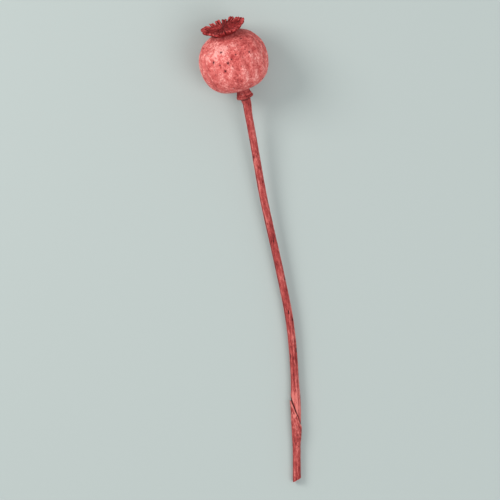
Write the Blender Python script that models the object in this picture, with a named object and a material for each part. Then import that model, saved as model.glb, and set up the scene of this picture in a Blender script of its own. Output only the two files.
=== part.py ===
"""A dried poppy seed head on its cut stem, lying on a flat surface.

Three pieces grow into each other: the stem with its collar, the ribbed
capsule on its short neck, and the lobed crown on top of the capsule.
Each is turned about its own axis and reshaped by a formula, then laid
down: the head lies along +Y, its stem towards -Y. It rests on two small
flat spots under the capsule and one under the stem's cut end. The origin
is on the surface, under the middle of the whole. In metres, +Z up.
"""

import math

import bmesh
import bpy
from mathutils import Matrix, Vector

MM = 0.001

# Driving dimensions of the head
CAPSULE_RADIUS = 21.0 * MM
RAY_COUNT = 18
RIB_HEIGHT = 0.32 * MM
CROWN_RADIUS = 13.8 * MM
STEM_RADIUS = 2.35 * MM
SEAM = 0.3 * MM

# How the head lies: it leans to the left of the stem, crown end raised, crown nodding back
LEAN = math.radians(17.6)
RAISE = math.radians(13)
NOD = math.radians(9)
NOD_FROM, NOD_TO = 9 * MM, 17 * MM
CENTRE = Vector((0, 0, 20.95 * MM))
AXIS = Vector((
    -math.sin(LEAN) * math.cos(RAISE),
    math.cos(LEAN) * math.cos(RAISE),
    math.sin(RAISE),
))

# Outline of the capsule in mm: distance from its axis, height over its widest part
FOOT = ((0, -21.3), (4.0, -21.3), (4.2, -20.9))
NECK = ((4.0, -20.3), (3.4, -19.5), (3.2, -18.9), (3.9, -18.2))
BODY = (
    (6.2, -17.8), (9.8, -17.2), (13.4, -15.7), (16.7, -12.9), (19.2, -8.9),
    (20.6, -4.2), (21.0, 0.6), (20.5, 5.2), (19.0, 9.3), (16.6, 12.6),
    (13.8, 14.9), (11.2, 16.3), (9.4, 17.2),
)
WAIST = ((8.7, 17.8), (8.5, 18.4), (0, 18.4))
BODY_LOW, BODY_HIGH = BODY[0][1] * MM, BODY[-1][1] * MM
RINGS_PER_SPAN = 2
CAPSULE_STEPS_PER_RIB = 4

# Ribs grow from a faint line to full height over these lengths at each end of the body
RIB_RISE = 6 * MM
RIB_FALL = 4 * MM
FAINT_RIB = 0.25
# The girth is uneven by a few waves: how many round it, how strong, and where they start
GIRTH_WAVES = ((2, 0.009, 0.6), (3, 0.006, 2.0))

# Outline of the crown in mm, from the middle of its underside round its rim
CROWN_UNDER = ((0, 0), (8.4, 0), (8.7, 0.7), (9.3, 1.4), (10.4, 2.0), (12.0, 2.6))
CROWN_RIM = ((13.4, 3.2), (13.8, 3.7), (13.4, 4.1))
CROWN_TOP = ((12.1, 3.55), (10.3, 3.1), (8.0, 2.9), (5.4, 2.75), (3.2, 2.8), (1.4, 3.1), (0, 3.2))
CROWN_OUTLINE = CROWN_UNDER + CROWN_RIM + CROWN_TOP
CROWN_BASE = WAIST[-1][1] * MM + SEAM
CROWN_STEPS_PER_RAY = 8

# Across a ray, 0 is its middle and 1 the line where it meets the next one
LOBE_ROOT = 8.2 * MM
NOTCH_FROM = 0.55
NOTCH_DEPTH = 0.3
TIP_ROUNDING = 0.03
TIP_DENT = 0.04
DENT_WIDTH = 0.35
RAY_RELIEF = 0.42 * MM
RAY_SINK = 0.45
RAY_EDGE = 0.95
RAY_FADE = 4 * MM
TOP_LEVEL = 2.4 * MM
TOP_BLEND = 0.3 * MM
LOBE_LIFTS = (
    1.6, 0.9, 0.4, -0.7, -0.3, -0.8, 0.0, -0.2, 0.5,
    0.8, 0.2, 0.6, 1.1, 0.1, 0.6, 0.2, 0.8, 1.2,
)
LOBE_SWAY = 0.03
SWAY_STEP = 2.4

# Collar and stem: radius in mm at a distance down from the seam with the neck
COLLAR = ((0, 0), (4.4, 0), (5.0, 0.25), (5.25, 0.9), (4.95, 1.6), (3.9, 2.1), (3.1, 2.4))
STEM_TAPER = ((2.75, 3.4), (2.5, 8), (2.28, 16), (2.3, 60), (2.35, 120), (2.38, 186))
LEAF_SCAR = ((2.5, 192), (2.75, 198), (2.72, 203), (2.4, 207))
STEM_FOOT = ((2.4, 218), (2.45, 241))
STEM_TURNS = 14
STEM_RING_GAP = 5.0 * MM
STEM_GROOVES = 7
GROOVE_DEPTH = 0.025
GROOVE_START, GROOVE_RISE = 3 * MM, 6 * MM
CUT_SLANT = 0.55
CUT_RUN = 1 * MM

# The stem's line below the collar, by hand: x, y, z in mm
STEM_ROUTE = (
    (9.2, -33.0, 13.1),
    (11.9, -47.6, 10.6),
    (18.4, -83.8, 7.7),
    (28.1, -127.5, 5.6),
    (34.8, -162.7, 4.3),
    (37.8, -204.5, 3.2),
    (38.7, -262.0, 2.25),
)
COLLAR_RUN = 6.0 * MM
ROUTE_STEPS = 40

# A torn leaf base hugging the stem: where it leaves, and each step of its growth in mm
STUB_DOWN = 202 * MM
STUB_SIDE = Vector((-0.55, 0, 0.83))
STUB_FACES = 3
STUB_GROWTH = ((3.0, 0.9, 0.92), (3.0, 0.8, 0.8), (2.5, 0.7, 0.62))

DYED_CAPSULE = (0.66, 0.13, 0.13, 1)
DYED_CROWN = (0.36, 0.035, 0.035, 1)
DYED_STEM = (0.50, 0.08, 0.08, 1)
DULL = 0.85


def clear_scene():
    for obj in list(bpy.data.objects):
        bpy.data.objects.remove(obj)


def coat(name, colour):
    """A matt, dusty dye."""
    material = bpy.data.materials.new(name)
    material.use_nodes = True
    shader = material.node_tree.nodes["Principled BSDF"]
    shader.inputs["Base Color"].default_value = colour
    shader.inputs["Roughness"].default_value = DULL
    shader.inputs["Metallic"].default_value = 0
    material.diffuse_color = colour
    return material


def smooth(x):
    """0 below 0, 1 above 1, and an even slope between."""
    x = min(max(x, 0.0), 1.0)
    return x * x * (3 - 2 * x)


def turned(outline, steps):
    """A closed solid turned about Z from an outline that starts and ends on the axis."""
    bm = bmesh.new()
    line = [bm.verts.new((radius, 0, height)) for radius, height in outline]
    edges = [bm.edges.new(pair) for pair in zip(line, line[1:])]
    bmesh.ops.spin(
        bm, geom=line + edges, cent=(0, 0, 0), axis=(0, 0, 1), angle=math.tau,
        steps=steps, use_merge=True,
    )
    bmesh.ops.remove_doubles(bm, verts=bm.verts, dist=0.001 * MM)
    bmesh.ops.recalc_face_normals(bm, faces=bm.faces)
    return bm


def polar(point):
    return math.hypot(point.x, point.y), math.atan2(point.y, point.x)


def moved_to(point, radius, angle, height):
    point.x = radius * math.cos(angle)
    point.y = radius * math.sin(angle)
    point.z = height


def lay_down():
    """The matrix that takes a head standing on Z, widest at 0, to where it lies."""
    side = Vector((0, 0, 1)).cross(AXIS).normalized()
    up = AXIS.cross(side)
    turn = Matrix((side, up, AXIS)).transposed()
    return Matrix.Translation(CENTRE) @ turn.to_4x4()


def rest_on_surface(bm):
    """Cuts away what is below the surface and closes the small flat spot."""
    everything = list(bm.verts) + list(bm.edges) + list(bm.faces)
    cut = bmesh.ops.bisect_plane(
        bm, geom=everything, plane_co=(0, 0, 0), plane_no=(0, 0, 1),
        dist=0.0001 * MM, clear_inner=True,
    )
    rim = [item for item in cut["geom_cut"] if isinstance(item, bmesh.types.BMEdge)]
    bmesh.ops.holes_fill(bm, edges=rim)
    bmesh.ops.recalc_face_normals(bm, faces=bm.faces)


def finish(bm, name, material):
    mesh = bpy.data.meshes.new(name)
    bm.to_mesh(mesh)
    bm.free()
    mesh.materials.append(material)
    mesh.shade_smooth()
    mesh.set_sharp_from_angle(angle=math.radians(50))
    obj = bpy.data.objects.new(name, mesh)
    bpy.context.scene.collection.objects.link(obj)
    return obj


def capsule_radius(radius, angle, height):
    """Ribs along the body, one under each ray, and a slightly uneven girth."""
    full = smooth((height - BODY_LOW) / RIB_RISE) * smooth((BODY_HIGH - height) / RIB_FALL)
    rib = -math.cos(RAY_COUNT * angle) * RIB_HEIGHT * (FAINT_RIB + (1 - FAINT_RIB) * full)
    girth = sum(size * math.cos(waves * angle + start) for waves, size, start in GIRTH_WAVES)
    return radius * (1 + girth * full) + rib * math.sqrt(radius / CAPSULE_RADIUS)


def nodded(bm):
    """Tips everything above the shoulder back, towards +Y, about the top of the body."""
    pivot = Vector((0, 0, BODY_HIGH))
    for vert in bm.verts:
        share = smooth((vert.co.z - NOD_FROM) / (NOD_TO - NOD_FROM))
        turn = Matrix.Rotation(-NOD * share, 3, "X")
        vert.co = pivot + turn @ (vert.co - pivot)


def make_capsule():
    body = [(p.x, p.y) for p in hermite([Vector(p) for p in BODY], RINGS_PER_SPAN)]
    outline = [(r * MM, h * MM) for r, h in (*FOOT, *NECK, *body, *WAIST)]
    bm = turned(outline, RAY_COUNT * CAPSULE_STEPS_PER_RIB)
    # The underside is -Y here, and a valley between two ribs is turned to it.
    for vert in bm.verts:
        radius, angle = polar(vert.co)
        if radius > 0:
            radius = capsule_radius(radius, angle + math.pi / 2, vert.co.z)
            moved_to(vert.co, radius, angle, vert.co.z)
    nodded(bm)
    bm.transform(lay_down())
    rest_on_surface(bm)
    return finish(bm, "capsule", coat("dyed_capsule", DYED_CAPSULE))


def reshape_crown(bm):
    """Each ray is a channel between two raised edges, and ends in a rounded, dented lobe."""
    pitch = math.tau / RAY_COUNT
    for vert in bm.verts:
        radius, angle = polar(vert.co)
        if radius == 0:
            continue
        turn = ((angle + pitch / 2) % math.tau) / pitch
        ray = int(turn) % RAY_COUNT
        across = abs(2 * (turn - math.floor(turn)) - 1)

        out = smooth((radius - LOBE_ROOT) / (CROWN_RADIUS - LOBE_ROOT))
        gap = smooth((across - NOTCH_FROM) / (1 - NOTCH_FROM))
        dent = max(0, 1 - across / DENT_WIDTH)
        lost = NOTCH_DEPTH * gap + TIP_ROUNDING * across**2 + TIP_DENT * dent
        sway = LOBE_SWAY * math.sin(SWAY_STEP * ray)

        ridge = math.sin(math.pi * min(across / RAY_EDGE, 1.0)) ** 2 - RAY_SINK
        on_top = smooth((vert.co.z - TOP_LEVEL) / TOP_BLEND)
        height = vert.co.z + RAY_RELIEF * ridge * smooth(radius / RAY_FADE) * max(on_top, out)
        height += LOBE_LIFTS[ray] * MM * out * (1 - gap)
        moved_to(vert.co, radius * (1 - out * lost) * (1 + out * sway), angle, height)


def make_crown():
    outline = [(r * MM, h * MM) for r, h in CROWN_OUTLINE]
    bm = turned(outline, RAY_COUNT * CROWN_STEPS_PER_RAY)
    reshape_crown(bm)
    bm.transform(Matrix.Translation((0, 0, CROWN_BASE)))
    nodded(bm)
    bm.transform(lay_down())
    return finish(bm, "crown", coat("dyed_crown", DYED_CROWN))


def hermite(points, steps):
    """A smooth curve through the points, as a dense list of points."""
    slopes = [points[1] - points[0]]
    slopes += [(after - before) / 2 for before, after in zip(points, points[2:])]
    slopes += [points[-1] - points[-2]]
    line = []
    for a, b, at_a, at_b in zip(points, points[1:], slopes, slopes[1:]):
        for step in range(steps):
            t = step / steps
            line.append(
                a * (2 * t**3 - 3 * t**2 + 1) + at_a * (t**3 - 2 * t**2 + t)
                + b * (3 * t**2 - 2 * t**3) + at_b * (t**3 - t**2)
            )
    return line + [points[-1]]


def stem_line():
    """The middle of the stem, from the seam at the neck to the cut."""
    seam = CENTRE + AXIS * (FOOT[0][1] * MM - SEAM)
    collar_end = seam - AXIS * COLLAR_RUN
    return [seam] + hermite([collar_end] + [Vector(p) * MM for p in STEM_ROUTE], ROUTE_STEPS)


def along(line, distance):
    """The place and direction at a distance along a dense line of points."""
    for a, b in zip(line, line[1:]):
        run = (b - a).length
        if distance <= run:
            break
        distance -= run
    way = (b - a).normalized()
    return a + way * distance, way


def stem_outline():
    """Radius and distance down, with rings added on the long straight stretches."""
    corners = COLLAR + STEM_TAPER + LEAF_SCAR + STEM_FOOT
    rings = [corners[0]]
    for (r0, s0), (r1, s1) in zip(corners, corners[1:]):
        pieces = max(1, round((s1 - s0) * MM / STEM_RING_GAP))
        for piece in range(1, pieces + 1):
            part = piece / pieces
            rings.append((r0 + (r1 - r0) * part, s0 + (s1 - s0) * part))
    rings.append((0, rings[-1][1]))
    return [(r * MM, s * MM) for r, s in rings]


def bend_stem(bm, line, length):
    """Grooves the stem, slants its cut and bends it from Z along its line."""
    for vert in bm.verts:
        radius, angle = polar(vert.co)
        down = vert.co.z
        if radius > 0:
            below_collar = smooth((down - GROOVE_START) / GROOVE_RISE)
            radius *= 1 + GROOVE_DEPTH * math.cos(STEM_GROOVES * angle) * below_collar
        near_cut = smooth((down - length + CUT_RUN) / CUT_RUN)
        down += near_cut * CUT_SLANT * (radius * math.cos(angle) - STEM_RADIUS)
        place, way = along(line, down)
        side = way.cross(Vector((0, 0, 1))).normalized()
        up = side.cross(way)
        vert.co = place + radius * (side * math.cos(angle) + up * math.sin(angle))


def grow_stub(bm, line):
    """Pulls a patch of the stem's skin up and outwards into the torn base of a leaf."""
    place, way = along(line, STUB_DOWN)
    side = (STUB_SIDE - way * STUB_SIDE.dot(way)).normalized()
    target = place + side * STEM_RADIUS
    near = sorted(bm.faces, key=lambda face: (face.calc_center_median() - target).length)
    middle = near[0].calc_center_median()
    level = [
        face for face in near
        if abs((face.calc_center_median() - middle).dot(way)) < STEM_RING_GAP / 2
    ]
    patch = level[:STUB_FACES]
    for up, out, taper in STUB_GROWTH:
        grown = bmesh.ops.extrude_face_region(bm, geom=patch)["geom"]
        old = [face for face in patch if face.is_valid]
        bmesh.ops.delete(bm, geom=old, context="FACES")
        patch = [item for item in grown if isinstance(item, bmesh.types.BMFace)]
        tips = [item for item in grown if isinstance(item, bmesh.types.BMVert)]
        middle = sum((vert.co for vert in tips), Vector()) / len(tips)
        for vert in tips:
            vert.co = middle + (vert.co - middle) * taper
            vert.co += (side * out - way * up) * MM


def make_stem():
    outline = stem_outline()
    bm = turned(outline, STEM_TURNS)
    line = stem_line()
    bend_stem(bm, line, outline[-1][1])
    bmesh.ops.recalc_face_normals(bm, faces=bm.faces)
    grow_stub(bm, line)
    rest_on_surface(bm)
    return finish(bm, "stem", coat("dyed_stem", DYED_STEM))


def centre_on_surface(pieces):
    """Moves the origin to the surface under the middle of all the pieces."""
    spots = [vert.co for piece in pieces for vert in piece.data.vertices]
    middle = Vector((
        (min(spot.x for spot in spots) + max(spot.x for spot in spots)) / 2,
        (min(spot.y for spot in spots) + max(spot.y for spot in spots)) / 2,
        0,
    ))
    for piece in pieces:
        piece.data.transform(Matrix.Translation(-middle))


def main():
    clear_scene()
    centre_on_surface([make_capsule(), make_crown(), make_stem()])


main()
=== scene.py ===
# %% [markdown]
# # A dried poppy seed head, laid on a pale table
# The real thing is one poppy fruit, dried on its stem and dyed coral red.
# It has three parts that grew into each other: a round ribbed capsule, the
# lobed crown that sat under the pollen, and the stem, with a ring-shaped
# collar where the petals fell off. The lesson makes each one finely over the
# plain solid that the frame gives, and then its dusty, specked dye.

# %% Load the frame
import math
import random

import bpy
import numpy as np
from mathutils import Matrix, Vector, noise


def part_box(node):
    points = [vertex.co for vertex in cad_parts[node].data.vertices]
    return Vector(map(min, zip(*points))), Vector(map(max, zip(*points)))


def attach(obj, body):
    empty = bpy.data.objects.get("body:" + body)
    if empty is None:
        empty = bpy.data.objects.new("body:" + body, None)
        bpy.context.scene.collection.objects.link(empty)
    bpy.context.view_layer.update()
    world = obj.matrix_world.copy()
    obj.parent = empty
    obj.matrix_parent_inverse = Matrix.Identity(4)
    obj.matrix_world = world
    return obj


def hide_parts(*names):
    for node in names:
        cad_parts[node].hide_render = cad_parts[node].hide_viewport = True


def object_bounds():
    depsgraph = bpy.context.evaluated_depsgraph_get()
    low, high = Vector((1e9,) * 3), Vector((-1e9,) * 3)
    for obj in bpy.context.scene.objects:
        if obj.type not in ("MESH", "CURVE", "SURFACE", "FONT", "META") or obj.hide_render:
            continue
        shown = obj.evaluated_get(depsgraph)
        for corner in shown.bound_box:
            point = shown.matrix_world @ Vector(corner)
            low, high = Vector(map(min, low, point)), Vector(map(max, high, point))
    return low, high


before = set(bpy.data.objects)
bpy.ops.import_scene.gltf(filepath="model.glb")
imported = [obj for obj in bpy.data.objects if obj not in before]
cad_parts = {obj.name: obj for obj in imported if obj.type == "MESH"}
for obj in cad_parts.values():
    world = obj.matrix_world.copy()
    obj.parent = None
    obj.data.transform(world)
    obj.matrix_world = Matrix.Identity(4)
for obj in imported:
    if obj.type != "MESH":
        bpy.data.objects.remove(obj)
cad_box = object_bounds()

MM = 0.001
print("solids:", sorted(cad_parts))

# %% [markdown]
# ## How the head lies
# A cut stem can't stand, so the head rests on its ribs and on the end of its
# stem. Every piece is first made upright on Z, with the capsule's widest part
# at zero, because a round thing is easiest to shape about its own axis. One
# matrix then lays it down: leaning left of the stem, crown end raised. The
# crown and the shoulder under it also nod back towards the camera.

# %% The head's place
LEAN = math.radians(17.6)
RAISE = math.radians(13)
NOD = math.radians(9)
NOD_FROM, NOD_TO = 9 * MM, 17 * MM
HEAD_CENTRE = Vector((-9.816, 114.604, 20.95)) * MM
AXIS = Vector((
    -math.sin(LEAN) * math.cos(RAISE),
    math.cos(LEAN) * math.cos(RAISE),
    math.sin(RAISE),
))
SIDE = Vector((0, 0, 1)).cross(AXIS).normalized()
TURN = Matrix((SIDE, AXIS.cross(SIDE), AXIS)).transposed()
LAID = Matrix.Translation(HEAD_CENTRE) @ TURN.to_4x4()

capsule_low, capsule_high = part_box("capsule")
print("capsule box in mm:", [round(v / MM, 1) for v in (*capsule_low, *capsule_high)])

# %% [markdown]
# ## Hand tools
# These few helpers are used by every piece. A turned shape is drawn as by
# hand: one point is extruded along the outline, and the line is spun round Z.
# Relief is then pushed into the fine mesh by formula, which keeps the ribs
# and rays exactly where the solids have them.

# %% Select, read and write
def select_only(obj):
    bpy.ops.object.select_all(action="DESELECT")
    obj.select_set(True)
    bpy.context.view_layer.objects.active = obj


def points_of(obj):
    """Every point's place, as rows of across, along and up."""
    flat = np.empty(len(obj.data.vertices) * 3, np.float32)
    obj.data.vertices.foreach_get("co", flat)
    return flat.reshape(-1, 3).astype(float)


def normals_of(obj):
    """The way that the skin faces at every point."""
    flat = np.empty(len(obj.data.vertices) * 3, np.float32)
    obj.data.vertex_normals.foreach_get("vector", flat)
    return flat.reshape(-1, 3).astype(float)


def move_points(obj, points):
    obj.data.vertices.foreach_set("co", points.astype(np.float32).ravel())
    obj.data.update()


def note(obj, name, values):
    """Keeps a number or a vector for every point of a piece, for its material to read."""
    kind, field = ("FLOAT_VECTOR", "vector") if values.ndim == 2 else ("FLOAT", "value")
    layer = obj.data.attributes.new(name, kind, "POINT")
    layer.data.foreach_set(field, values.astype(np.float32).ravel())


# %% Turn an outline on the lathe
def lathe(name, outline, steps):
    """Extrudes one point along an outline of (radius, height) and spins the line round Z."""
    bpy.ops.object.select_all(action="DESELECT")
    bpy.ops.mesh.primitive_plane_add(size=MM)
    obj = bpy.context.object
    obj.name = obj.data.name = name
    bpy.ops.object.mode_set(mode="EDIT")
    bpy.ops.mesh.select_all(action="SELECT")
    bpy.ops.mesh.merge(type="CENTER")
    bpy.ops.transform.translate(value=(outline[0][0], 0, outline[0][1]))
    for (r0, z0), (r1, z1) in zip(outline, outline[1:]):
        step = {"value": (r1 - r0, 0, z1 - z0)}
        bpy.ops.mesh.extrude_vertices_move(TRANSFORM_OT_translate=step)
    bpy.ops.mesh.select_all(action="SELECT")
    bpy.ops.mesh.spin(steps=steps, angle=math.tau, center=(0, 0, 0), axis=(0, 0, 1))
    bpy.ops.mesh.select_all(action="SELECT")
    bpy.ops.mesh.remove_doubles(threshold=0.002 * MM)
    bpy.ops.mesh.normals_make_consistent(inside=False)
    bpy.ops.object.mode_set(mode="OBJECT")
    bpy.ops.object.shade_smooth()
    return obj


# %% Curves, slopes and lumps
def smooth(x):
    """Eases from 0 to 1 as x does, and stays there past either end."""
    x = np.clip(x, 0, 1)
    return x * x * (3 - 2 * x)


def curve_through(corners, spacing):
    """A smooth line through the corners, with a point about every spacing."""
    corners = [np.array(corner, float) for corner in corners]
    slopes = [corners[1] - corners[0]]
    slopes += [(after - before) / 2 for before, after in zip(corners, corners[2:])]
    slopes += [corners[-1] - corners[-2]]
    line = []
    for a, b, out, into in zip(corners, corners[1:], slopes, slopes[1:]):
        pieces = max(1, round(float(np.linalg.norm(b - a)) / spacing))
        for t in np.arange(pieces) / pieces:
            line.append(
                a * (2 * t**3 - 3 * t**2 + 1) + out * (t**3 - 2 * t**2 + t)
                + b * (3 * t**2 - 2 * t**3) + into * (t**3 - t**2)
            )
    return line + [corners[-1]]


def lumps(points, size, stretch=1.0, shift=0.0):
    """Even random swellings about so wide, drawn out along Z, between -1 and 1."""
    scale = np.array([1 / size, 1 / size, 1 / (size * stretch)])
    return np.array([noise.noise(Vector(p)) for p in points * scale + shift])


# %% [markdown]
# ## The capsule
# The husk is a pot-bellied globe on a short neck, with a blunt rib under
# every ray of the crown. A plain sphere would lose its flat base and its
# shoulder, so the outline is drawn and turned. The ribs are then raised in
# it, each a little stronger or weaker than the next, and the dry skin gets
# dents and lumps. Last it is laid down, and flattened where it rests.

# %% Capsule sizes
RAYS = 18
CAPSULE_RADIUS = 21.0 * MM
RIB_HEIGHT = 0.32 * MM
FOOT = ((0, -21.7), (2.2, -21.7), (4.75, -21.7))
NECK = ((4.7, -21.2), (4.5, -20.6), (4.2, -19.8), (4.05, -19.0), (4.5, -18.3))
BODY = (
    (6.2, -17.8), (9.8, -17.2), (13.4, -15.7), (16.7, -12.9), (19.2, -8.9),
    (20.6, -4.2), (21.0, 0.6), (20.5, 5.2), (19.0, 9.3), (16.6, 12.6),
    (13.8, 14.9), (11.2, 16.3), (9.4, 17.2),
)
WAIST = ((8.7, 17.8), (8.5, 18.65), (0, 18.65))
BODY_LOW, BODY_HIGH = BODY[0][1] * MM, BODY[-1][1] * MM
RIB_RISE, RIB_FALL = 6 * MM, 4 * MM
FAINT_RIB = 0.25
RIB_STRENGTHS = (0.55, 1.15)
RIB_SWAY, RIB_SWAY_LENGTH = 0.12, 16 * MM
RIB_BLUNTNESS = 1.35
GIRTH_WAVES = ((2, 0.009, 0.6), (3, 0.006, 2.0))
SKIN_STEP = 0.34
CAPSULE_SEGMENTS = RAYS * 22

skin_line = [*FOOT, *curve_through((*NECK, *BODY), SKIN_STEP), *WAIST]
capsule = lathe("husk", [(r * MM, z * MM) for r, z in skin_line], CAPSULE_SEGMENTS)
print("husk turned:", len(capsule.data.vertices), "points")

# %% Raise the ribs
draw = random.Random(11)
rib_strength = np.array([draw.uniform(*RIB_STRENGTHS) for _ in range(RAYS)])

upright = points_of(capsule)
radius, height = np.hypot(upright[:, 0], upright[:, 1]), upright[:, 2]
angle = np.arctan2(upright[:, 1], upright[:, 0])
full = smooth((height - BODY_LOW) / RIB_RISE) * smooth((BODY_HIGH - height) / RIB_FALL)

turn = (angle + math.pi / 2) / math.tau * RAYS + RIB_SWAY * lumps(upright, RIB_SWAY_LENGTH) * full
wave = -np.cos(turn * math.tau)
rounded = 1 - 2 * ((1 - wave) / 2) ** RIB_BLUNTNESS
strength = rib_strength[np.floor(turn).astype(int) % RAYS]
rib = (strength * (1 + rounded) - 1) * (FAINT_RIB + (1 - FAINT_RIB) * full)
girth = sum(
    size * np.cos(waves * (angle + math.pi / 2) + start) for waves, size, start in GIRTH_WAVES
)
wide = radius * (1 + girth * full) + rib * RIB_HEIGHT * np.sqrt(radius / CAPSULE_RADIUS)
wide = np.where(radius > 0, wide, 0)
shaped = np.column_stack([wide * np.cos(angle), wide * np.sin(angle), height])
move_points(capsule, shaped)
note(capsule, "grown", upright)
print("ribs raised:", RAYS)

# %% Dent and roughen the skin
# Heights in mm. The skin is smoother on the neck. Its colour is darker in the creases, and painted
# shade darkens it under the belly and under the crown.
DENT, KNOB, CREASE, GRAIN = 0.30, 0.14, 0.13, 0.07

dents = DENT * lumps(upright, 10 * MM, 1.3, 5.0)
knobs = KNOB * lumps(upright, 2.9 * MM, 1.5, 9.0)
creases = CREASE * (0.25 - np.abs(lumps(upright, 3.6 * MM, 2.4, 4.0)))
grains = GRAIN * lumps(upright, 1.15 * MM, 1.3, 2.0)
skin = (dents + knobs + creases + grains) * MM * (0.3 + 0.7 * full)
shaped = shaped + normals_of(capsule) * skin[:, None]
move_points(capsule, shaped)
under_belly = smooth((2 * MM + BODY_LOW - height) / (3 * MM))
under_crown = smooth((height - 15 * MM) / (3 * MM))
relief_and_painted_light = 0.5 + 0.07 * rib + 1.3 * knobs + 1.6 * creases + 3.6 * grains
# Painted shade: the tone is lowered under the belly, towards the collar, and under the crown.
relief_and_painted_light = relief_and_painted_light - 0.6 * (under_belly + 0.4 * under_crown)
print("skin moved by", round(float(skin.min()) / MM, 2), "to", round(float(skin.max()) / MM, 2), "mm")

# %% [markdown]
# ## The capsule's specks, stains and painted light
# Mould leaves small dark specks that sink a little into the dry husk, and the
# dye lies deeper in some places than in others. An image would blur close up
# and end at a seam, so each speck is a place on the mesh, and its darkness is
# kept as a number on every point for the material to read. The same number
# also darkens the neck above the collar and the shoulder under the crown, as
# painted shade. Of the stains, the pale patch at the upper left is a painted highlight.

# %% Scatter its specks
# Across, up and width in mm, from the middle of the head as the camera sees it. The ones
# underneath, and the smallest ones everywhere, are drawn at random.
SEEN_SPECKS = (
    (-7.5, 4.4, 1.7), (-12.2, -1.9, 1.6), (-3.5, -2.8, 1.6), (-4.9, -7.4, 1.5),
    (3.9, 14.0, 1.3), (-8.1, -3.7, 1.0), (1.1, 2.4, 1.1), (-1.2, -0.3, 1.0),
    (9.5, 4.4, 1.2), (12.2, 12.8, 1.1), (18.2, -0.7, 1.1), (2.3, -9.9, 0.9),
    (3.9, -8.9, 0.8), (0.2, 5.0, 0.8), (4.1, 7.3, 0.8), (2.1, 9.4, 0.9),
    (3.1, 5.5, 0.8), (4.8, -12.8, 0.7), (2.3, -12.1, 0.7), (-10.6, -9.2, 0.8),
    (5.2, 1.3, 0.6), (13.0, 6.5, 0.7), (-16.8, 2.6, 0.8), (-2.9, -16.2, 0.8),
    (-2.0, 3.6, 0.7), (6.8, 6.0, 0.8), (8.0, 3.0, 0.7), (6.2, 3.6, 0.6),
    (0.8, 11.6, 0.7), (7.2, 12.6, 0.7), (-0.6, -6.2, 0.6), (4.8, -4.4, 0.7),
    (9.0, -2.6, 0.6), (16.3, 4.2, 0.8), (15.8, -1.0, 0.6), (0.4, -17.0, 0.8),
    (-11.0, 0.6, 0.6), (-5.6, 1.2, 0.6), (10.6, 8.6, 0.6), (3.4, -6.8, 0.7),
)
RANDOM_SPECKS = 190
RANDOM_WIDTHS = (0.4, 0.5, 0.5, 0.6, 0.7, 0.8, 1.0, 1.3)
SPECK_DEPTH = 0.09 * MM


def speck_mask(points, seeds):
    """How deep in a dark spot each point lies, from 0 outside to 1 in the middle."""
    mask = np.zeros(len(points))
    wobble = 1 + 0.45 * lumps(points, 0.7 * MM, 1.0, 6.0) + 0.3 * lumps(points, 0.35 * MM, 1.0, 2.0)
    for centre, wide, dark in seeds:
        away = np.linalg.norm(points - centre, axis=1) * wobble
        mask = np.maximum(mask, dark * smooth(1.45 - away / (wide * MM / 2)))
    return mask


laid = shaped @ np.array(TURN).T
seeds = []
for across, up, wide in SEEN_SPECKS:
    away = np.hypot(laid[:, 0] - across * MM, laid[:, 1] - up * MM) + (laid[:, 2] < 0)
    seeds.append((shaped[np.argmin(away)], wide, 0.6 + 0.4 * (wide > 0.9)))
draw = random.Random(23)
for _ in range(RANDOM_SPECKS):
    spot = draw.randrange(len(shaped))
    wide = draw.choice(RANDOM_WIDTHS)
    if laid[spot, 2] < 9 * MM or wide < 0.6:
        seeds.append((shaped[spot], wide, draw.uniform(0.3, 0.8)))
specks = speck_mask(shaped, seeds)
# Painted shade: the neck above the collar and the shoulder under the crown are darkened with the
# speck colour.
on_neck = smooth((BODY_LOW - height) / (0.8 * MM)) * smooth((height + 21.5 * MM) / (1.6 * MM))
painted_shade = 0.35 * on_neck + 0.4 * smooth((height - 16.6 * MM) / MM)
specks = np.maximum(specks, painted_shade)
# The noted number holds both the specks and this painted shade.
note(capsule, "speck_and_shade", specks)
move_points(capsule, shaped - normals_of(capsule) * (SPECK_DEPTH * specks)[:, None])
print("specks:", len(seeds))

# %% Soak in its stains and a painted highlight
# Across, up and width in mm on the seen side, and how much deeper or paler the dye is.
# The pale patch at the upper left is a painted highlight.
STAINS_AND_HIGHLIGHT = (
    (1.0, 1.5, 7.0, -0.42), (6.5, 9.5, 6.5, -0.20), (2.5, -10.0, 5.5, -0.16),
    (-10.5, 6.0, 9.5, 0.26), (9.0, -8.5, 6.0, 0.22), (13.5, 1.5, 4.5, 0.14),
    (-5.0, -12.5, 6.0, 0.12), (16.5, 9.0, 5.0, -0.12),
)


def near(across, up, wide):
    """A soft patch on the seen side, about so wide in mm."""
    away = np.hypot(laid[:, 0] - across * MM, laid[:, 1] - up * MM)
    return smooth(1.2 - away / (wide * MM)) * (laid[:, 2] > 0)


for across, up, wide, amount in STAINS_AND_HIGHLIGHT:
    relief_and_painted_light = relief_and_painted_light + amount * near(across, up, wide)
note(capsule, "relief_and_painted_light", np.clip(relief_and_painted_light, 0, 1))
print("stains:", len(STAINS_AND_HIGHLIGHT))


# %% Nod and lay down
def nod(obj):
    """Tips everything above the shoulder back about the top of the body."""
    points = points_of(obj) - [0, 0, BODY_HIGH]
    share = smooth((points[:, 2] + BODY_HIGH - NOD_FROM) / (NOD_TO - NOD_FROM))
    cos, sin = np.cos(NOD * share), np.sin(NOD * share)
    y, z = points[:, 1].copy(), points[:, 2].copy()
    points[:, 1] = y * cos + z * sin
    points[:, 2] = z * cos - y * sin
    move_points(obj, points + [0, 0, BODY_HIGH])


def lay_down(obj):
    """Takes an upright piece to where it lies, with its place kept in its mesh."""
    select_only(obj)
    obj.matrix_world = LAID
    bpy.ops.object.transform_apply(location=True, rotation=True, scale=True)


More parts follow.
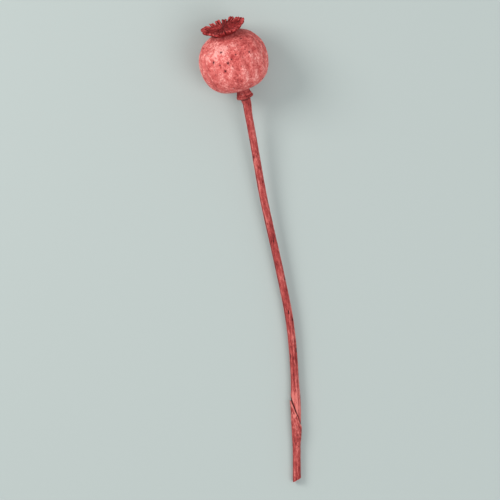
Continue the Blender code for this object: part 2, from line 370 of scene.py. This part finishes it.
def settle(obj):
    """Presses flat what would reach below the table."""
    points = points_of(obj)
    points[:, 2] = np.maximum(points[:, 2], 0)
    move_points(obj, points)


nod(capsule)
lay_down(capsule)
settle(capsule)
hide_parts("capsule")
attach(capsule, "root")
print("husk laid down, widest", round(max(capsule.dimensions) / MM, 1), "mm")

# %% [markdown]
# ## The crown
# The crown is a stiff saucer of rays, each a channel between two raised
# edges that ends in a notched lobe. Cutting eighteen lobes from a disc would
# leave hard steps. Turning the saucer and drawing its rim in between the
# rays keeps one closed skin, and each lobe can then be lifted, curled and
# twisted on its own, as they dried.

# %% Crown sizes
CROWN_RADIUS = 13.8 * MM
CROWN_BASE = 18.7 * MM
CROWN_UNDER = ((0, -0.05), (8.2, -0.05), (8.4, 0.6), (9.0, 1.2), (10.4, 1.75), (12.0, 2.3))
CROWN_RIM = ((13.4, 3.0), (13.75, 3.6), (13.4, 4.1))
CROWN_TOP = ((12.1, 3.55), (10.3, 3.1), (8.0, 2.9), (5.4, 2.75), (3.2, 2.8), (1.4, 3.1), (0, 3.2))
LOBE_ROOT = 8.2 * MM
LOBE_LIFTS = (
    1.6, 1.1, 0.8, 0.1, 0.5, 0.0, 0.4, 0.0, 0.5,
    0.8, 0.0, 0.3, 0.8, -0.2, 0.2, 0.0, 0.7, 1.2,
)
CROWN_STEP = 0.3
CROWN_SEGMENTS = RAYS * 22

saucer = [*CROWN_UNDER[:1], *curve_through(CROWN_UNDER[1:], CROWN_STEP)]
saucer += curve_through((*CROWN_RIM, *CROWN_TOP), CROWN_STEP)
crown = lathe("crown_of_rays", [(r * MM, z * MM) for r, z in saucer], CROWN_SEGMENTS)
print("crown turned:", len(crown.data.vertices), "points")

# %% Find each point's place on its ray
upright = points_of(crown)
radius, height = np.hypot(upright[:, 0], upright[:, 1]), upright[:, 2]
angle = np.arctan2(upright[:, 1], upright[:, 0])
turn = angle / math.tau * RAYS + 0.5
ray = np.floor(turn).astype(int) % RAYS
across = 2 * (turn - np.floor(turn)) - 1
from_middle = np.abs(across)
out = smooth((radius - LOBE_ROOT) / (CROWN_RADIUS - LOBE_ROOT))
gap = smooth((from_middle - 0.66) / 0.26)
lobe = out * (1 - gap)
print("points on the lobes:", int((lobe > 0).sum()))

# %% Vary the lobes
# Each is curled, twisted and swung a little on its own. On one side they also curl down.
draw = random.Random(5)
curl = np.array([draw.uniform(-0.4, 0.6) for _ in range(RAYS)])
curl = (0.8 * curl - 0.6 * np.maximum(np.sin(np.arange(RAYS) * math.tau / RAYS), 0))[ray] * MM
twist = np.array([draw.uniform(-0.6, 0.6) for _ in range(RAYS)])[ray] * MM
swing = np.array([draw.uniform(-1, 1) for _ in range(RAYS)])[ray] * math.radians(2)
sway = 0.03 * np.sin(2.4 * ray)
lifts = (LOBE_LIFTS[-1], *LOBE_LIFTS, LOBE_LIFTS[0])
lift = np.interp(turn % RAYS - 0.5, range(-1, RAYS + 1), lifts) * MM
print("lobes lifted by up to", max(LOBE_LIFTS), "mm")

# %% Draw in the notches and fold the rays
# Heights in mm: a ray's two edges, how much more at the rim, and how far gaps and edges drop.
FOLD_HEIGHT, FOLD_AT_RIM, GAP_DROP, EDGE_DROP = 0.7, 0.35, 0.6, 0.25

notched = 0.21 * gap + 0.09 * from_middle**2 + 0.01 * smooth(1 - from_middle / 0.32)
ridge = smooth(from_middle / 0.40) * (1 - smooth((from_middle - 0.58) / 0.37)) - 0.5
on_top = smooth((height - 2.4 * MM) / (0.3 * MM))
spread = smooth(radius / (4 * MM))
blunt = 1 - 0.6 * smooth((radius - 11.4 * MM) / (2.2 * MM))

fold = ridge * spread * blunt * np.maximum(on_top, out)
height = height + (FOLD_HEIGHT + FOLD_AT_RIM * out) * MM * fold
height = height - GAP_DROP * MM * gap * out - EDGE_DROP * MM * from_middle**2 * out
height = height + lift * out * (1 - 0.3 * gap) + curl * lobe**3 + twist * across * lobe
wide = radius * (1 - out * notched) * (1 + out * sway)
angle = angle + swing * lobe
shaped = np.column_stack([wide * np.cos(angle), wide * np.sin(angle), height])
move_points(crown, shaped)
note(crown, "grown", upright)
print("notches drawn in, deepest", round(float(notched.max()) * CROWN_RADIUS / MM, 1), "mm")

# %% Roughen the rays and set the crown on the capsule
wrinkles = 0.10 * lumps(shaped, 1.5 * MM, 1.0, 3.0) + 0.05 * lumps(shaped, 0.7 * MM, 1.0, 7.0)
move_points(crown, shaped + normals_of(crown) * (wrinkles * spread * MM)[:, None])
# Painted highlight and shade: the rays' raised edges are made paler and their channels darker.
relief_and_painted_light = 0.26 + (0.5 + 0.8 * out) * fold + 0.20 * out + 2.4 * wrinkles
note(crown, "relief_and_painted_light", np.clip(relief_and_painted_light, 0, 1))
move_points(crown, points_of(crown) + [0, 0, CROWN_BASE])
nod(crown)
lay_down(crown)
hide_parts("crown")
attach(crown, "root")
print("crown across", round(max(crown.dimensions) / MM, 1), "mm")

# %% [markdown]
# ## The stem
# The stem swells into the collar, a ring with a lip where petals and stamens
# were fixed, and lower down has a node where a leaf was torn off. A curve
# with a round bevel would give a bare wire. The lathe gives collar, taper
# and node in one outline, and the straight stick is then bent along the line
# that the real stem takes. Where it nears the table it is pressed softly.

# %% Stem sizes
STEM_LENGTH = 241.0
COLLAR = (
    (0, 0), (2.2, 0), (4.6, 0), (4.95, 0.12), (5.2, 0.4), (5.32, 0.85), (5.25, 1.35),
    (4.85, 1.8), (4.1, 2.1), (3.3, 2.35), (2.95, 2.75), (2.95, 3.1), (2.8, 3.6),
)
TAPER = (
    (2.5, 8), (2.28, 16), (2.27, 32), (2.3, 64), (2.34, 110), (2.37, 150), (2.39, 170), (2.42, 178),
)
LEAF_NODE = ((2.6, 183), (2.95, 189), (3.0, 196), (2.85, 203), (2.5, 211), (2.4, 220), (2.45, 240.6))
LEAF_TIP, LEAF_FALL, LEAF_FOOT = 190.2, 17.0, 220.0
CUT_END = ((2.35, 241.0), (1.95, 241.0), (1.75, 240.3), (1.5, 238.5), (0, 237.8))
COLLAR_STEP, STEM_STEP = 0.35, 0.9
STEM_SEGMENTS = 48
STEM_ROUTE = (
    (9.2, -33.0, 13.1), (11.9, -47.6, 10.6), (18.4, -83.8, 7.7), (28.1, -127.5, 5.6),
    (34.8, -162.7, 4.3), (37.8, -204.5, 3.2), (38.7, -262.0, 2.25),
)

stick = [*COLLAR[:2], *curve_through(COLLAR[2:], COLLAR_STEP)]
stick += curve_through((*TAPER, *LEAF_NODE), STEM_STEP)
stick += CUT_END
stem = lathe("stalk", [(r * MM, -s * MM) for r, s in stick], STEM_SEGMENTS)
print("stick turned:", len(stem.data.vertices), "points")

# %% Round it off
rounding = stem.modifiers.new("rounding", "SUBSURF")
rounding.levels = rounding.render_levels = 1
select_only(stem)
bpy.ops.object.modifier_apply(modifier=rounding.name)
print("stick rounded:", len(stem.data.vertices), "points")

# %% Draw its fibres
# Heights as shares of the stem's radius. The inside of the cut end stays smooth.
EDGE, STRAND, STREAK, BUMP, KNUCKLE = 0.025, 0.05, 0.02, 0.03, 0.05
EDGES_ROUND = 7

upright = points_of(stem)
radius, down = np.hypot(upright[:, 0], upright[:, 1]), -upright[:, 2]
angle = np.arctan2(upright[:, 1], upright[:, 0])
below_collar = smooth((down - 3 * MM) / (6 * MM))
outside = smooth((radius - 1.9 * MM) / (0.2 * MM))
round_about = np.column_stack([np.cos(angle), np.sin(angle), down / (60 * MM)])
strands = np.array([noise.noise(Vector(p)) for p in round_about * [5.5, 5.5, 1]])
edges = EDGE * np.cos(EDGES_ROUND * angle) * below_collar
streaks = STRAND * strands * below_collar + STREAK * lumps(upright, 0.9 * MM, 9.0, 4.0)
bumps = BUMP * lumps(upright, 2.2 * MM, 2.5, 1.0)
knuckles = KNUCKLE * lumps(upright, 3.0 * MM, 1.0, 8.0) * (1 - below_collar)
radius = radius * (1 + (edges + streaks + bumps + knuckles) * outside)
print("fibres drawn, widest", round(2 * float(radius.max()) / MM, 1), "mm")

# %% Slant the cut and pinch the stem above the torn leaf
CUT_SLANT = 0.55
CUT_FRAY = 0.25 * MM
GAP_ABOVE_TEAR, GAP_WIDTH, GAP_PINCH = 0.8 * MM, 1.4 * MM, 0.06

near_cut = smooth((down - (STEM_LENGTH - 4) * MM) / (4 * MM))
slant = CUT_SLANT * (radius * np.cos(angle) - CUT_END[0][0] * MM)
frayed = CUT_FRAY * lumps(upright, 0.8 * MM, 4.0, 6.0) * smooth((down - (STEM_LENGTH - 1) * MM) / MM)
down = down + near_cut * slant + frayed
torn = (LEAF_TIP + LEAF_FALL * (1 - np.cos(angle)) / 2) * MM
in_gap = smooth(1.5 - np.abs(down - torn + GAP_ABOVE_TEAR) / GAP_WIDTH)
radius = radius * (1 - GAP_PINCH * in_gap * outside)
print("cut slants by", round(float(slant.max() - slant.min()) / MM, 1), "mm")

# %% Mark where its dye is paler, and where light and shade are painted
# The cut rim is rubbed pale. The node's swelling carries a painted highlight, and the
# collar's left side is painted lighter, as if lit from the left. Painted shade darkens the
# stem just under the collar, and is darkest above the tear, under the lip and in the bore.
SWELLING_AT, SWELLING_HALF = 191 * MM, 9 * MM
SHADE_FROM, SHADE_RUN = 14 * MM, 26 * MM
LIP_AT, LIP_WIDTH = 2.7 * MM, 0.5 * MM
RIM_FROM, BORE_FROM = 240.7 * MM, 237 * MM

uncut_down = -upright[:, 2]
# Painted highlight on the upper side of the node's swelling.
swelling_highlight = smooth(1.3 - np.abs(down - SWELLING_AT) / SWELLING_HALF) * smooth(np.sin(angle) * 1.5)
# Painted shade on the stem under the collar, and painted light on the collar's left side.
painted_shade_and_light = 0.14 * (1 - smooth((down - SHADE_FROM) / SHADE_RUN))
painted_shade_and_light = painted_shade_and_light - 0.35 * (1 - below_collar) * smooth(0.3 + np.cos(angle))
on_cut = smooth((uncut_down - RIM_FROM) / (0.25 * MM))
in_bore = (1 - outside) * smooth((uncut_down - BORE_FROM) / MM)
# Painted shade under the collar's lip.
shade_under_lip = smooth(1.3 - np.abs(down - LIP_AT) / LIP_WIDTH)
# The gap above the tear is painted darker, as shade.
relief_and_painted_light = 0.5 + 7 * streaks + 5 * edges + 6 * bumps + 0.5 * swelling_highlight - 0.3 * in_gap
relief_and_painted_light = relief_and_painted_light - painted_shade_and_light + 0.6 * on_cut
# Painted shade above the tear, under the lip and in the bore.
darkest = np.maximum(0.95 * in_gap, 0.5 * shade_under_lip)
darkest = np.maximum(darkest, 0.6 * in_bore * (1 - on_cut))
note(stem, "grown", upright)
note(stem, "relief_and_painted_light", np.clip(relief_and_painted_light, 0, 1.1))
note(stem, "speck_and_shade", darkest)
print("palest and darkest points marked on the stem")

# %% Find its line
NECK_SEAM = -21.6 * MM
COLLAR_RUN = 6.0 * MM
middle = Vector((HEAD_CENTRE.x, HEAD_CENTRE.y, 0))
seam = HEAD_CENTRE + AXIS * NECK_SEAM
collar_end = seam - AXIS * COLLAR_RUN
route = [collar_end] + [Vector(corner) * MM + middle for corner in STEM_ROUTE]
stem_line = np.array([np.array(seam)] + curve_through(route, 0.5 * MM))
runs = np.linalg.norm(np.diff(stem_line, axis=0), axis=1)
run_so_far = np.concatenate([[0], np.cumsum(runs)])
ways = np.gradient(stem_line, axis=0)


def bend_along(radius, angle, down):
    """Where points of an upright stick go when it is bent along the stem's line."""
    place = np.column_stack([np.interp(down, run_so_far, stem_line[:, i]) for i in range(3)])
    way = np.column_stack([np.interp(down, run_so_far, ways[:, i]) for i in range(3)])
    way /= np.linalg.norm(way, axis=1)[:, None]
    side = np.cross(way, [0, 0, 1.0])
    side /= np.linalg.norm(side, axis=1)[:, None]
    up = np.cross(side, way)
    around = side * np.cos(angle)[:, None] + up * np.sin(angle)[:, None]
    return place + around * radius[:, None]


# %% Bend it along the line and press it where it lies
PRESS_FROM, PRESS_DEPTH = 1.0 * MM, 0.45 * MM


def press(obj):
    """Lifts what lies low more than what lies high, so that thin walls near the table stay apart."""
    points = points_of(obj)
    share = np.clip((PRESS_FROM - points[:, 2]) / (PRESS_FROM + PRESS_DEPTH), 0, 1)
    points[:, 2] += PRESS_DEPTH * share**2
    move_points(obj, points)


move_points(stem, bend_along(radius, angle, down))
select_only(stem)
bpy.ops.object.mode_set(mode="EDIT")
bpy.ops.mesh.select_all(action="SELECT")
bpy.ops.mesh.normals_make_consistent(inside=False)
bpy.ops.object.mode_set(mode="OBJECT")
press(stem)
settle(stem)
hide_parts("stem")
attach(stem, "root")
print("stem line runs", round(float(run_so_far[-1]) / MM, 1), "mm")

# %% [markdown]
# ## The torn leaf base
# A poppy leaf clasps its stem. Where this one was pulled off, the base stays
# as a sheath with a slanting torn edge and a dark gap above it. It could be
# cut from the stem's skin, but a grid rolled round the stem and given a
# thickness can stand off it and be torn where the real one is.

# %% Roll a grid round the stem
LEAF_SPAN = math.radians(330)
LEAF_PALE_SPOT, LEAF_PALE_SPOT_WIDTH = np.array([27.4, -101.8]) * MM, 0.9 * MM
LEAF_THICKNESS = 0.4 * MM
LEAF_FOOT_RADIUS, LEAF_SPREAD = 2.30, 0.68

bpy.ops.object.select_all(action="DESELECT")
bpy.ops.mesh.primitive_grid_add(x_subdivisions=90, y_subdivisions=44, size=2)
leaf = bpy.context.object
leaf.name = leaf.data.name = "torn_leaf_base"
flat = points_of(leaf)
u, reach = flat[:, 0], (flat[:, 1] + 1) / 2
leaf_angle = u * LEAF_SPAN / 2
round_leaf = np.column_stack([np.cos(leaf_angle), np.sin(leaf_angle), reach * 0])
ragged = 0.9 * lumps(round_leaf, 0.45, 1.0, 2.5) + 0.5 * lumps(round_leaf, 0.16, 1.0, 4.5)
edge = LEAF_TIP + LEAF_FALL * (1 - np.cos(leaf_angle)) / 2 + ragged
foot = LEAF_FOOT + 2.5 * lumps(round_leaf, 0.5, 1.0, 7.5)
leaf_down = (foot + (edge - foot) * reach) * MM
round_leaf[:, 2] = leaf_down / (6 * MM)
creased = 0.10 * lumps(round_leaf, 0.30, 1.0, 1.5) + 0.05 * lumps(round_leaf, 0.13, 2.0, 3.5)
stands_out = 0.30 * reach**3 + 0.20 * np.maximum(np.cos(leaf_angle), 0) ** 4 * reach**5
leaf_radius = (LEAF_FOOT_RADIUS + LEAF_SPREAD * smooth(reach * 1.6) + stands_out + creased) * MM
move_points(leaf, bend_along(leaf_radius, leaf_angle, leaf_down))
leaf_upright = np.column_stack([
    leaf_radius * np.cos(leaf_angle), leaf_radius * np.sin(leaf_angle), -leaf_down,
])
print("edge torn from", round(float(edge.min()), 1), "to", round(float(edge.max()), 1), "mm down")

# %% Fleck it and mark its torn edge
flecks = lumps(leaf_upright, 0.75 * MM, 1.8, 8.5) + 0.5 * lumps(leaf_upright, 0.35 * MM, 1.4, 5.5)
flecks = 0.8 * smooth((flecks - 0.38) / 0.2)
on_edge = smooth(reach * 14 - 12.6)
# A small spot near the torn edge is made paler.
from_pale_spot = np.hypot(*(points_of(leaf)[:, :2] - LEAF_PALE_SPOT).T)
pale_spot = smooth(1.4 - from_pale_spot / LEAF_PALE_SPOT_WIDTH) * (np.sin(leaf_angle) > 0)
relief_and_painted_light = 0.45 + 3 * creased + 0.5 * on_edge + 1.3 * pale_spot
note(leaf, "grown", leaf_upright)
note(leaf, "relief_and_painted_light", np.clip(relief_and_painted_light, 0, 1.6))
note(leaf, "speck_and_shade", flecks * (1 - on_edge) * (1 - pale_spot))
print("torn edge and chip marked on the leaf base")

# %% Thicken the leaf base
thick = leaf.modifiers.new("thickness", "SOLIDIFY")
thick.thickness = LEAF_THICKNESS
thick.offset = 0
soft = leaf.modifiers.new("rounding", "SUBSURF")
soft.levels = soft.render_levels = 1
select_only(leaf)
for modifier in ("thickness", "rounding"):
    bpy.ops.object.modifier_apply(modifier=modifier)
bpy.ops.object.shade_smooth()
press(leaf)
settle(leaf)
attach(leaf, "root")
print("leaf base:", len(leaf.data.vertices), "points")

# %% [markdown]
# ## The dye
# The dye is matt and dusty, soaked in unevenly, and paler where the skin
# stands proud and the dust rubs on. The same numbers also carry painted
# highlights and painted shade. One node group gives this to all the
# pieces, each with its own colours: large blotches, fine grain, red freckles,
# pale chips and dark specks, all drawn in the piece's own upright shape, so
# that they run along the ribs and the stem. A separate material for each
# would have to be kept alike by hand.

# %% Wire nodes by hand
def socket(group, name, kind, way, value=None):
    """Gives a node group one more input or output."""
    item = group.interface.new_socket(name=name, in_out=way, socket_type=kind)
    if value is not None:
        item.default_value = value


def wire(tree, kind, settings=None, **inputs):
    """Adds a node, sets it up, and fills its inputs with values or with other nodes' outputs."""
    node = tree.nodes.new(kind)
    for name, value in (settings or {}).items():
        setattr(node, name, value)
    for name, value in inputs.items():
        entry = node.inputs[int(name[1:]) if name[0] == "i" and name[1:].isdigit() else name]
        if isinstance(value, bpy.types.NodeSocket):
            tree.links.new(value, entry)
        else:
            entry.default_value = value
    return node


def blend_colours(tree, share, first, second):
    """Goes from the first colour to the second as the share goes from 0 to 1."""
    node = tree.nodes.new("ShaderNodeMix")
    node.data_type = "RGBA"
    for entry, value in ((0, share), (6, first), (7, second)):
        if isinstance(value, bpy.types.NodeSocket):
            tree.links.new(value, node.inputs[entry])
        else:
            node.inputs[entry].default_value = value
    return node.outputs[2]


def maths(tree, how, first, second):
    """Adds, subtracts, multiplies or divides two values, or takes the larger."""
    node = wire(tree, "ShaderNodeMath", {"operation": how}, i0=first, i1=second)
    return node.outputs[0]


def ranged(tree, value, start, end, low=0.0, high=1.0):
    """Brings a value from between start and end to between low and high, evenly eased."""
    node = wire(
        tree, "ShaderNodeMapRange", {"interpolation_type": "SMOOTHSTEP"},
        i0=value, i1=start, i2=end, i3=low, i4=high,
    )
    return node.outputs[0]


# %% A group for the dye
# How much each pattern counts, and the tones over which deep turns to dye and dye to pale.
LARGE_SHARE, BLOTCH_SHARE, GRAIN_SHARE, RELIEF_SHARE = 0.55, 0.75, 1.05, 0.5
DEEP_TONES, PALE_TONES = (1.12, 1.42), (1.40, 1.72)
CHIP_COLOUR = (0.60, 0.40, 0.42, 1)
STIR_SIZE, STIR_REACH = 0.9 * MM, 1.3 * MM
LEAST_ROUGH, MOST_ROUGH = 0.72, 0.95


def make_dye_group():
    group = bpy.data.node_groups.new("uneven dusty dye and painted light", "ShaderNodeTree")
    socket(group, "Grown", "NodeSocketVector", "INPUT")
    socket(group, "Relief and painted light", "NodeSocketFloat", "INPUT", 0.5)
    for name in ("Pale", "Dye", "Deep", "Speck"):
        socket(group, name, "NodeSocketColor", "INPUT")
    socket(group, "Stretch", "NodeSocketFloat", "INPUT", 1.5)
    socket(group, "Specks", "NodeSocketFloat", "INPUT", 1.0)
    socket(group, "Speck and shade mask", "NodeSocketFloat", "INPUT", 0.0)
    socket(group, "Color", "NodeSocketColor", "OUTPUT")
    socket(group, "Roughness", "NodeSocketFloat", "OUTPUT")
    socket(group, "Height", "NodeSocketFloat", "OUTPUT")
    given = group.nodes.new("NodeGroupInput").outputs

    # Everything is drawn out along the axis by the stretch.
    along = maths(group, "DIVIDE", 1.0, given["Stretch"])
    scale = wire(group, "ShaderNodeCombineXYZ", i0=1.0, i1=1.0, i2=along).outputs[0]
    place = wire(
        group, "ShaderNodeVectorMath", {"operation": "MULTIPLY"}, i0=given["Grown"], i1=scale,
    ).outputs[0]

    def cloud(size, detail, roughness=0.6):
        return wire(
            group, "ShaderNodeTexNoise", Vector=place, Scale=1 / (size * MM), Detail=detail,
            Roughness=roughness,
        ).outputs["Fac"]

    large, blotches, grain = cloud(14, 2.0), cloud(2.4, 4.0), cloud(0.75, 5.0, 0.7)
    # The relief input also carries painted highlights and painted shade.
    tone = maths(group, "MULTIPLY", large, LARGE_SHARE)
    for pattern, share in (
        (blotches, BLOTCH_SHARE), (grain, GRAIN_SHARE), (given["Relief and painted light"], RELIEF_SHARE),
    ):
        tone = maths(group, "ADD", tone, maths(group, "MULTIPLY", pattern, share))
    deep_to_dye = ranged(group, tone, *DEEP_TONES)
    dye_to_pale = ranged(group, tone, *PALE_TONES)
    colour = blend_colours(group, deep_to_dye, given["Deep"], given["Dye"])
    colour = blend_colours(group, dye_to_pale, colour, given["Pale"])

    # The spots' outlines are made uneven by pushing their pattern about with a fine noise.
    stir = wire(group, "ShaderNodeTexNoise", Vector=place, Scale=1 / STIR_SIZE, Detail=3.0)
    stir = wire(
        group, "ShaderNodeVectorMath", {"operation": "SUBTRACT"},
        i0=stir.outputs["Color"], i1=(0.5, 0.5, 0.5),
    )
    stir = wire(
        group, "ShaderNodeVectorMath", {"operation": "SCALE"}, i0=stir.outputs[0], Scale=STIR_REACH,
    )
    stirred = wire(
        group, "ShaderNodeVectorMath", {"operation": "ADD"}, i0=place, i1=stir.outputs[0],
    ).outputs[0]

    def spots(size, share, spread):
        """Spots on some cells only, about so wide in mm."""
        node = wire(group, "ShaderNodeTexVoronoi", Vector=stirred, Scale=1 / (size * MM))
        chosen = wire(group, "ShaderNodeSeparateColor", i0=node.outputs["Color"]).outputs[0]
        reach = wire(
            group, "ShaderNodeMapRange", i0=chosen, i1=1 - share, i2=1.0, i3=0.0, i4=spread,
        ).outputs[0]
        edge = maths(group, "SUBTRACT", reach, node.outputs["Distance"])
        return ranged(group, edge, -0.02, 0.10)

    freckles = maths(group, "MULTIPLY", spots(1.3, 0.55, 0.42), 0.75)
    colour = blend_colours(group, freckles, colour, given["Deep"])
    chips = maths(group, "MULTIPLY", spots(2.9, 0.07, 0.24), 0.65)
    colour = blend_colours(group, chips, colour, CHIP_COLOUR)
    specks = maths(group, "MULTIPLY", spots(1.9, 0.22, 0.34), given["Specks"])
    # The speck mask adds painted shade in the speck colour.
    specks = maths(group, "MAXIMUM", specks, given["Speck and shade mask"])
    colour = blend_colours(group, specks, colour, given["Speck"])

    result = group.nodes.new("NodeGroupOutput").inputs
    group.links.new(colour, result["Color"])
    rough = ranged(group, grain, 0.3, 0.7, LEAST_ROUGH, MOST_ROUGH)
    group.links.new(rough, result["Roughness"])
    height = maths(group, "ADD", grain, maths(group, "MULTIPLY", blotches, 0.6))
    height = maths(group, "SUBTRACT", height, maths(group, "MULTIPLY", specks, 0.3))
    group.links.new(height, result["Height"])
    return group


dye_group = make_dye_group()
print("dye group:", len(dye_group.nodes), "nodes")


# %% A material from the group
BUMP_DEPTH = 0.25 * MM


def dyed(name, pale, dye, deep, speck_and_shade, stretch, specks, bump):
    """A dyed finish: the group's colour, roughness and height on one plain shader."""
    material = bpy.data.materials.new(name)
    material.use_nodes = True
    tree = material.node_tree
    shader = tree.nodes["Principled BSDF"]
    grown = wire(tree, "ShaderNodeAttribute", {"attribute_name": "grown"}).outputs["Vector"]
    relief_and_painted_light = wire(tree, "ShaderNodeAttribute", {"attribute_name": "relief_and_painted_light"}).outputs["Fac"]
    mask = wire(tree, "ShaderNodeAttribute", {"attribute_name": "speck_and_shade"}).outputs["Fac"]
    group = tree.nodes.new("ShaderNodeGroup")
    group.node_tree = dye_group
    tree.links.new(mask, group.inputs["Speck and shade mask"])
    tree.links.new(grown, group.inputs["Grown"])
    tree.links.new(relief_and_painted_light, group.inputs["Relief and painted light"])
    for entry, value in (
        ("Pale", pale), ("Dye", dye), ("Deep", deep), ("Speck", speck_and_shade),
        ("Stretch", stretch), ("Specks", specks),
    ):
        group.inputs[entry].default_value = value
    bumps = wire(
        tree, "ShaderNodeBump", Strength=bump, Distance=BUMP_DEPTH, Height=group.outputs["Height"],
    )
    tree.links.new(group.outputs["Color"], shader.inputs["Base Color"])
    tree.links.new(group.outputs["Roughness"], shader.inputs["Roughness"])
    tree.links.new(bumps.outputs["Normal"], shader.inputs["Normal"])
    shader.inputs["Specular IOR Level"].default_value = 0.25
    return material


def paint(obj, material):
    obj.data.materials.clear()
    obj.data.materials.append(material)


# %% Paint the pieces
husk_dye = dyed(
    "dyed husk", pale=(0.93, 0.38, 0.35, 1), dye=(0.64, 0.125, 0.114, 1),
    deep=(0.37, 0.038, 0.038, 1), speck_and_shade=(0.075, 0.009, 0.013, 1),
    stretch=1.25, specks=0.35, bump=0.6,
)
ray_dye = dyed(
    "dyed rays", pale=(0.62, 0.095, 0.09, 1), dye=(0.26, 0.013, 0.014, 1),
    deep=(0.09, 0.004, 0.005, 1), speck_and_shade=(0.05, 0.005, 0.006, 1),
    stretch=1.0, specks=0.3, bump=0.6,
)
stalk_dye = dyed(
    "dyed stalk", pale=(0.64, 0.17, 0.15, 1), dye=(0.36, 0.048, 0.045, 1),
    deep=(0.13, 0.008, 0.010, 1), speck_and_shade=(0.04, 0.004, 0.006, 1),
    stretch=2.6, specks=1.0, bump=0.8,
)
for piece, dye in ((capsule, husk_dye), (crown, ray_dye), (stem, stalk_dye), (leaf, stalk_dye)):
    paint(piece, dye)
    print(piece.name, "has", dye.name)

# %% [markdown]
# ## The table and the light
# The table is plain, pale and wide enough that low views still end on it. A
# broad lamp low at the left models the capsule as a window would. A single
# lamp would leave hard dark edges, so a weaker one at the lower right and a
# wide one high above open the shadows, in bright even surroundings.

# %% Table
TABLE_SIZE = 40

bpy.ops.object.select_all(action="DESELECT")
bpy.ops.mesh.primitive_plane_add(size=TABLE_SIZE)
table = bpy.context.object
table.name = "table"
table_paint = bpy.data.materials.new("pale table")
table_paint.use_nodes = True
table_shader = table_paint.node_tree.nodes["Principled BSDF"]
table_shader.inputs["Base Color"].default_value = (0.41, 0.45, 0.44, 1)
table_shader.inputs["Roughness"].default_value = 0.9
paint(table, table_paint)
print("table", TABLE_SIZE, "m wide")


# %% Lamps
def lamp(name, place, target, size, watts, colour=(1, 1, 1)):
    """Hangs a round lamp and turns it to its target."""
    data = bpy.data.lights.new(name, "AREA")
    data.shape, data.size = "DISK", size
    data.energy, data.color = watts, colour
    obj = bpy.data.objects.new(name, data)
    bpy.context.scene.collection.objects.link(obj)
    obj.location = place
    obj.rotation_euler = (Vector(target) - Vector(place)).to_track_quat("-Z", "Y").to_euler()
    print("lamp:", name, "of", watts, "W")


lamp("window", (-0.98, 0.46, 0.86), (0, 0.10, 0), 0.7, 11.8, (1.0, 0.98, 0.95))
lamp("fill", (0.80, -0.40, 1.35), (0, 0.05, 0), 1.0, 9.4)
lamp("ceiling", (0.8, -0.1, 5.0), (0, 0.05, 0), 2.4, 24, (0.95, 0.98, 1.0))

# %% Surroundings
world = bpy.data.worlds.new("studio")
bpy.context.scene.world = world
world.use_nodes = True
world.node_tree.nodes["Background"].inputs["Color"].default_value = (0.85, 0.92, 0.92, 1)
world.node_tree.nodes["Background"].inputs["Strength"].default_value = 0.66
bpy.context.scene.view_settings.view_transform = "Standard"
print("surroundings:", world.name)

# %% [markdown]
# ## The camera
# It looks straight down on the table, with the head at the top of the frame.
# A common lens, close by, would see the head from one side and narrow the
# crown, so the lens is long and the camera far away. Its distance comes from
# the length of the part.

# %% Camera
LENS, SENSOR = 200, 36
MARGIN = 1.07
low, high = cad_box
middle = (low + high) / 2
frame_height = (high.y - low.y) * MARGIN
distance = frame_height * LENS / SENSOR
camera_data = bpy.data.cameras.new("camera")
camera_data.lens, camera_data.sensor_width = LENS, SENSOR
camera = bpy.data.objects.new("camera", camera_data)
bpy.context.scene.collection.objects.link(camera)
camera.location = (middle.x, middle.y, distance + middle.z / 2)
bpy.context.scene.camera = camera
print("camera", round(distance, 3), "m above the table")
